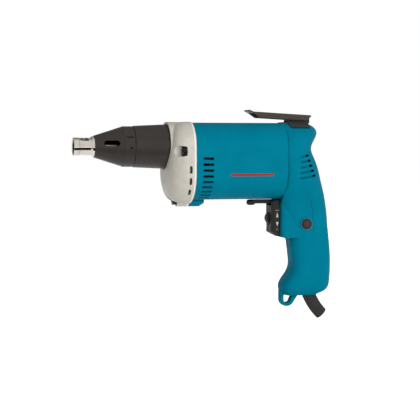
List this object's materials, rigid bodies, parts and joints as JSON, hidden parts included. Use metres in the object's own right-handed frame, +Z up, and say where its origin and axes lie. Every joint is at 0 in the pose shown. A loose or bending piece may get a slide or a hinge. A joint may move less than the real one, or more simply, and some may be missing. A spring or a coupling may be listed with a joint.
{
  "type": "drywall screwdriver",
  "caption": "Corded pistol-grip drywall screwdriver with a steel nose tip, depth-adjusting sleeve, cast gear housing, variable-speed trigger, lock button, cord eye and belt clip.",
  "frame": {"origin": "on the spindle's line at the front face of the nose tip", "axes": "+X from the nose to the rear, +Z up, -Y out of the near side that the picture shows"},
  "size_m": [0.2676, 0.0752, 0.2163],
  "materials": {
    "teal_plastic": "satin moulded plastic",
    "black_plastic": "matt moulded plastic",
    "cast_aluminium": "fine-blasted casting",
    "bright_steel": "turned and plated",
    "tool_steel": "machined",
    "sintered_bronze": "sintered",
    "copper": "enamelled copper",
    "core_steel": "stacked laminations",
    "carbon": "pressed carbon",
    "black_rubber": "matt",
    "dark_clip_steel": "dark plated spring steel",
    "grey_plastic": "glass-filled",
    "zinc_steel": "zinc plated",
    "lead_cover": "smooth cover"
  },
  "bodies": {
    "housing": {"sleeve_ring": "tool_steel", "detent_ball": "tool_steel", "detent_spring": "tool_steel", "dust_seal": "black_rubber", "spindle_bush": "sintered_bronze", "clutch_spring": "tool_steel", "gear_bush": "sintered_bronze", "gear_housing": "cast_aluminium", "bearing_plate": "cast_aluminium", "gear_housing_screws": "zinc_steel", "motor_housing": "teal_plastic", "front_bearing": "tool_steel", "rear_bearing": "tool_steel", "rear_bearing_sleeve": "black_rubber", "fan_baffle": "grey_plastic", "field_core": "core_steel", "field_coils": "copper", "field_screws": "zinc_steel", "brush_holders": "grey_plastic", "carbon_brushes": "carbon", "brush_springs": "tool_steel", "cord_guard": "black_rubber", "power_cord": "black_rubber", "handle_left": "teal_plastic", "handle_right": "teal_plastic", "handle_screws": "zinc_steel", "switch_body": "grey_plastic", "trigger_spring": "tool_steel", "lock_button_spring": "tool_steel", "motor_leads": "lead_cover", "capacitor": "grey_plastic", "cord_clamp": "grey_plastic", "cord_clamp_screws": "zinc_steel", "belt_clip": "dark_clip_steel", "clip_base": "black_plastic", "clip_screws": "zinc_steel"},
    "armature": {"armature_shaft": "tool_steel", "armature_core": "core_steel", "armature_windings": "copper", "commutator": "copper", "cooling_fan": "grey_plastic"},
    "gear": {"spindle_gear": "tool_steel"},
    "washer": {"thrust_washer": "tool_steel"},
    "spindle": {"spindle": "tool_steel", "bit_holder": "bright_steel", "bit_magnet": "core_steel", "screw_bit": "tool_steel"},
    "sleeve": {"adjusting_sleeve": "black_plastic"},
    "locator": {"nose_tip": "bright_steel", "depth_locator": "black_plastic"},
    "trigger": {"trigger": "black_plastic"},
    "dial": {"speed_dial": "black_plastic"},
    "lever": {"reversing_lever": "black_plastic"},
    "button": {"lock_button": "black_plastic"}
  },
  "joints": [
    {"name": "armature_spin", "type": "hinge", "parent": "housing", "child": "armature", "pos_m": [0.15, 0, -0.0186], "axis": [1, 0, 0], "continuous": true},
    {"name": "gear_spin", "type": "hinge", "parent": "housing", "child": "gear", "pos_m": [0.1, 0, 0], "axis": [1, 0, 0], "continuous": true},
    {"name": "spindle_push", "type": "slide", "parent": "housing", "child": "washer", "axis": [1, 0, 0], "range_m": [0, 0.004], "stiffness_N_per_m": 1500, "springref_m": -0.004, "deforming": ["clutch_spring"]},
    {"name": "spindle_spin", "type": "hinge", "parent": "washer", "child": "spindle", "pos_m": [0.07, 0, 0], "axis": [1, 0, 0], "continuous": true},
    {"name": "sleeve_turn", "type": "hinge", "parent": "housing", "child": "sleeve", "pos_m": [0.077, 0, 0], "axis": [1, 0, 0], "range_deg": [-1440, 0]},
    {"name": "locator_slide", "type": "slide", "parent": "housing", "child": "locator", "axis": [1, 0, 0], "range_m": [-0.006, 0]},
    {"name": "trigger_pull", "type": "slide", "parent": "housing", "child": "trigger", "axis": [1, 0, 0], "range_m": [0, 0.006], "stiffness_N_per_m": 800, "springref_m": -0.003, "deforming": ["trigger_spring"]},
    {"name": "dial_turn", "type": "hinge", "parent": "trigger", "child": "dial", "pos_m": [0.2052, 0, -0.0736], "axis": [0, 1, 0], "range_deg": [-135, 135]},
    {"name": "reversing_lever_swing", "type": "hinge", "parent": "housing", "child": "lever", "pos_m": [0.2249, 0, -0.057], "axis": [0, 0, 1], "range_deg": [-10, 10]},
    {"name": "lock_button_press", "type": "slide", "parent": "housing", "child": "button", "axis": [0, 1, 0], "range_m": [0, 0.0024], "stiffness_N_per_m": 500, "springref_m": -0.002, "deforming": ["lock_button_spring"]}
  ],
  "couplings": [
    {"joint": "gear_spin", "follows": "armature_spin", "ratio": -0.16981},
    {"joint": "locator_slide", "follows": "sleeve_turn", "m_per_rad": 0.00023873}
  ]
}
